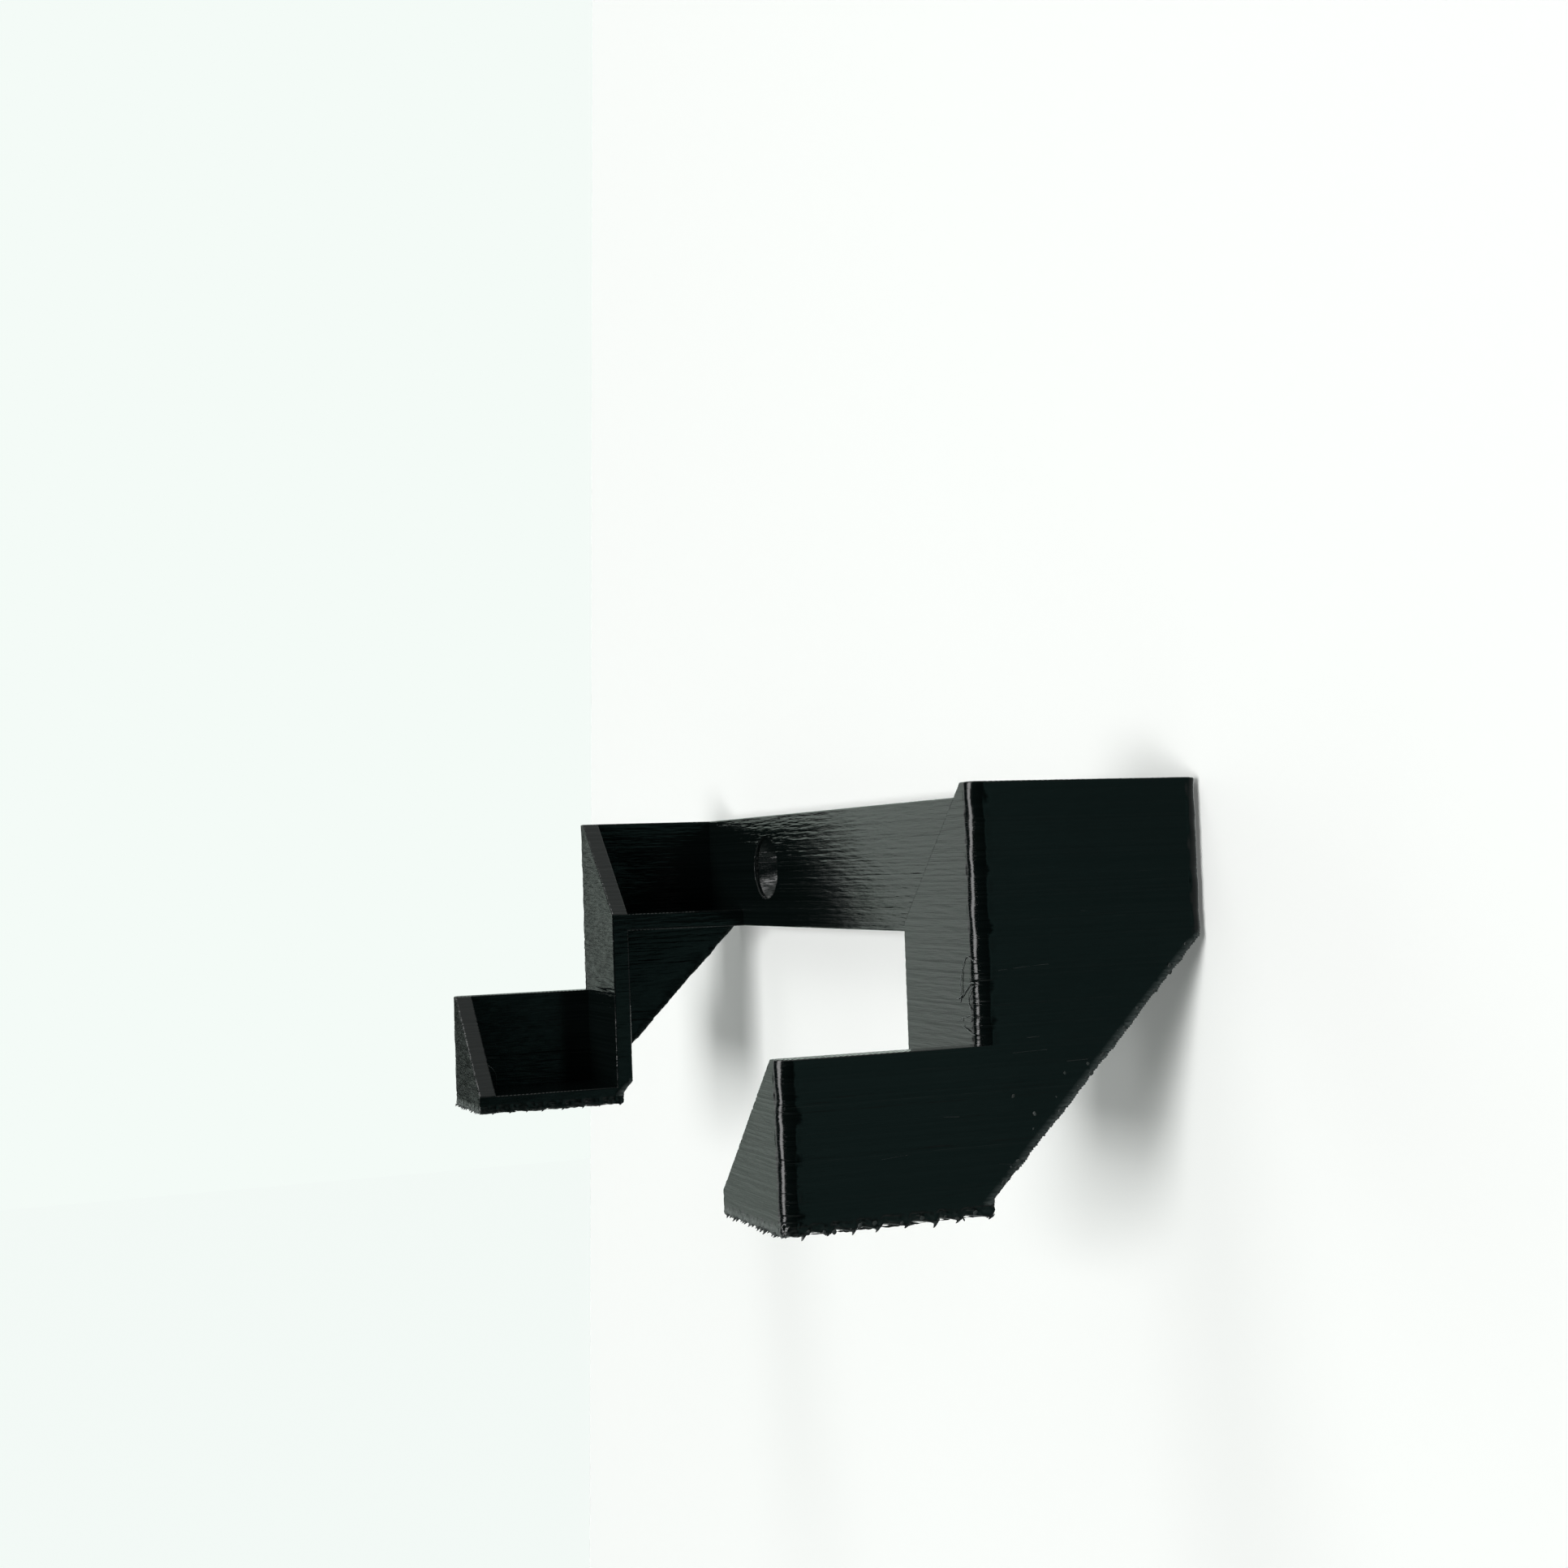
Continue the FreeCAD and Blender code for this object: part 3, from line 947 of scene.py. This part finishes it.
def flake_tree():
    """Sticks a small flattened lump at each point, no two alike."""
    tree, start, end, sockets = new_tree("edge_flakes", (
        ("Size", "NodeSocketFloat"),
        ("Thickness", "NodeSocketFloat"),
        ("Roughness", "NodeSocketFloat"),
        ("Seed", "NodeSocketInt"),
        ("Material", "NodeSocketMaterial"),
    ))
    links = tree.links
    lump = add_node(tree, "GeometryNodeMeshIcoSphere", {"Radius": 1.0, "Subdivisions": 2})
    size = add_node(tree, "FunctionNodeRandomValue", data_type="FLOAT")
    links.new(start.outputs["Seed"], size.inputs["Seed"])
    size.inputs[2].default_value = 0.35
    size.inputs[3].default_value = 1.0
    shape = add_node(tree, "FunctionNodeRandomValue", data_type="FLOAT_VECTOR")
    shape.inputs["Min"].default_value = (1, 0.5, 0.5)
    shape.inputs["Max"].default_value = (1, 1.3, 1.3)
    flatten = tree.nodes.new("ShaderNodeCombineXYZ")
    links.new(start.outputs["Thickness"], flatten.inputs[0])
    for axis in (1, 2):
        links.new(start.outputs["Size"], flatten.inputs[axis])
    uneven = add_node(tree, "ShaderNodeVectorMath", operation="MULTIPLY")
    links.new(shape.outputs["Value"], uneven.inputs[0])
    links.new(flatten.outputs[0], uneven.inputs[1])
    own_size = add_node(tree, "ShaderNodeVectorMath", operation="SCALE")
    links.new(uneven.outputs[0], own_size.inputs[0])
    links.new(size.outputs[1], own_size.inputs["Scale"])
    turn = add_node(tree, "FunctionNodeRandomValue", data_type="FLOAT_VECTOR")
    turn.inputs["Min"].default_value = (0, -0.35, -0.35)
    turn.inputs["Max"].default_value = (6.28, 0.35, 0.35)
    stand = tree.nodes.new("GeometryNodeInstanceOnPoints")
    links.new(start.outputs["Geometry"], stand.inputs["Points"])
    links.new(lump.outputs["Mesh"], stand.inputs["Instance"])
    links.new(turn.outputs["Value"], stand.inputs["Rotation"])
    links.new(own_size.outputs[0], stand.inputs["Scale"])
    real = tree.nodes.new("GeometryNodeRealizeInstances")
    links.new(stand.outputs[0], real.inputs["Geometry"])
    offset, _ = wandering_noise(tree, 3400.0, start.outputs["Seed"], start.outputs["Roughness"])
    ragged = tree.nodes.new("GeometryNodeSetPosition")
    links.new(real.outputs[0], ragged.inputs["Geometry"])
    links.new(offset, ragged.inputs["Offset"])
    paint = tree.nodes.new("GeometryNodeSetMaterial")
    links.new(ragged.outputs[0], paint.inputs["Geometry"])
    links.new(start.outputs["Material"], paint.inputs["Material"])
    links.new(paint.outputs[0], end.inputs["Geometry"])
    return tree, sockets


edge_flakes, flake_sockets = flake_tree()
SEEN_FLAKES = [
    (-17.5, -22.8), (-19.9, -24.2), (-20.1, -25.6), (-21.9, -28.5), (-22.6, -29.0),
    (-23.5, -30.4), (-10.5, -16.9), (-11.1, -17.9), (-4.3, -11.0), (-2.4, -8.9),
    (-8.2, -14.9), (-13.9, -19.9), (-16.5, -20.6), (-22.1, -22.4),
]
flake_rng = random.Random(23)
flake_points = []
for side in (-1, 1):
    for y, z in SEEN_FLAKES:
        drift = 0 if side > 0 else flake_rng.uniform(-0.6, 0.6)
        flake_points.append((side * HALF_WIDTH, (y + drift) * MM, (z + drift) * MM))
    for face in (HALF_WIDTH, HALF_WIDTH - WALL):
        along = -24.0
        while along < -1.2:
            inside = flake_rng.uniform(0.14, 0.5)
            flake_points.append((side * face, along * MM, (along - 7.5 + inside * 1.4) * MM))
            along += flake_rng.uniform(0.25, 1.3)
        y = -43.5
        while y < -25.0:
            flake_points.append((side * face, y * MM, BOTTOM + flake_rng.uniform(0.0, 0.6) * MM))
            y += flake_rng.uniform(0.6, 2.2)
flake_spots = line_object("overhang_flakes", [[point] for point in flake_points])
finished(flake_spots, "overhang_flakes", edge_flakes, {
    flake_sockets["Size"]: 0.3 * MM,
    flake_sockets["Thickness"]: 0.12 * MM,
    flake_sockets["Roughness"]: 0.16 * MM,
    flake_sockets["Seed"]: 3,
    flake_sockets["Material"]: torn_print,
})

# The loose strings
# Fine strings of plastic that the nozzle drew behind it. Some lie stuck to the right-hand end wall,
# some in a tangle at the foot of its upper step, and one hangs across the far end of the lower tier.

string_print = black_plastic("string_print", 0.9)

step_face = STEP - 0.1 * MM
step_paths = [
    [(65.2, -9.5), (64.5, -9.0), (63.5, -9.1), (62.8, -10.2), (62.3, -11.6), (62.5, -12.9), (62.0, -13.6)],
    [(65.2, -11.6), (64.5, -11.5), (63.8, -12.2), (63.0, -12.5), (62.2, -13.3), (61.5, -13.2)],
    [
        (65.1, -11.9), (64.3, -12.3), (63.7, -13.1), (63.9, -13.9),
        (64.7, -14.3), (64.6, -15.2), (63.8, -15.4),
    ],
    [(65.0, -14.8), (64.1, -14.6), (63.2, -15.1), (62.4, -14.8), (62.1, -15.3)],
    [(65.0, -16.5), (64.2, -16.4), (63.4, -15.9), (62.8, -16.1), (62.4, -15.6)],
]
step_lines = [
    [(x * MM, step_face - 0.12 * MM * math.sin(1.9 * k), z * MM) for k, (x, z) in enumerate(path)]
    for path in step_paths
]
threads("step_strings", step_lines, 0.06 * MM, 0.14 * MM, 0.45, 0.12 * MM, 1.7, string_print)

side_face = HALF_WIDTH + 0.012 * MM
side_paths = [
    [(-23.2, -10.5), (-21.4, -10.35), (-19.6, -10.2), (-17.8, -10.15)],
    [(-22.0, -18.35), (-20.6, -18.3), (-18.3, -18.25)],
    [(-20.4, -17.0), (-19.1, -16.95)],
    [(-16.2, -19.5), (-13.9, -19.45)],
    [(-23.9, -28.6), (-21.6, -28.9)],
    [(-36.0, -27.2), (-33.2, -27.0)],
    [(-29.5, -23.8), (-27.9, -23.9)],
    [(-14.0, -5.2), (-12.8, -5.3)],
]
side_lines = [[(side_face, y * MM, z * MM) for y, z in path] for path in side_paths]
threads("side_strings", side_lines, 0.034 * MM, 0.03 * MM, 0.2, 0.15 * MM, 4.1, faint_print)

end_string = [
    (-59.6, -43.15, -26.3), (-59.2, -42.8, -26.9), (-58.9, -42.2, -27.6), (-58.9, -41.4, -28.2),
    (-59.2, -41.0, -29.0), (-59.9, -40.9, -30.0), (-60.6, -40.8, -30.9),
]
end_line = [(x * MM, y * MM, z * MM) for x, y, z in end_string]
threads("end_string", [end_line], 0.12 * MM, 0.1 * MM, 0.6, 0.15 * MM, 2.9, string_print)
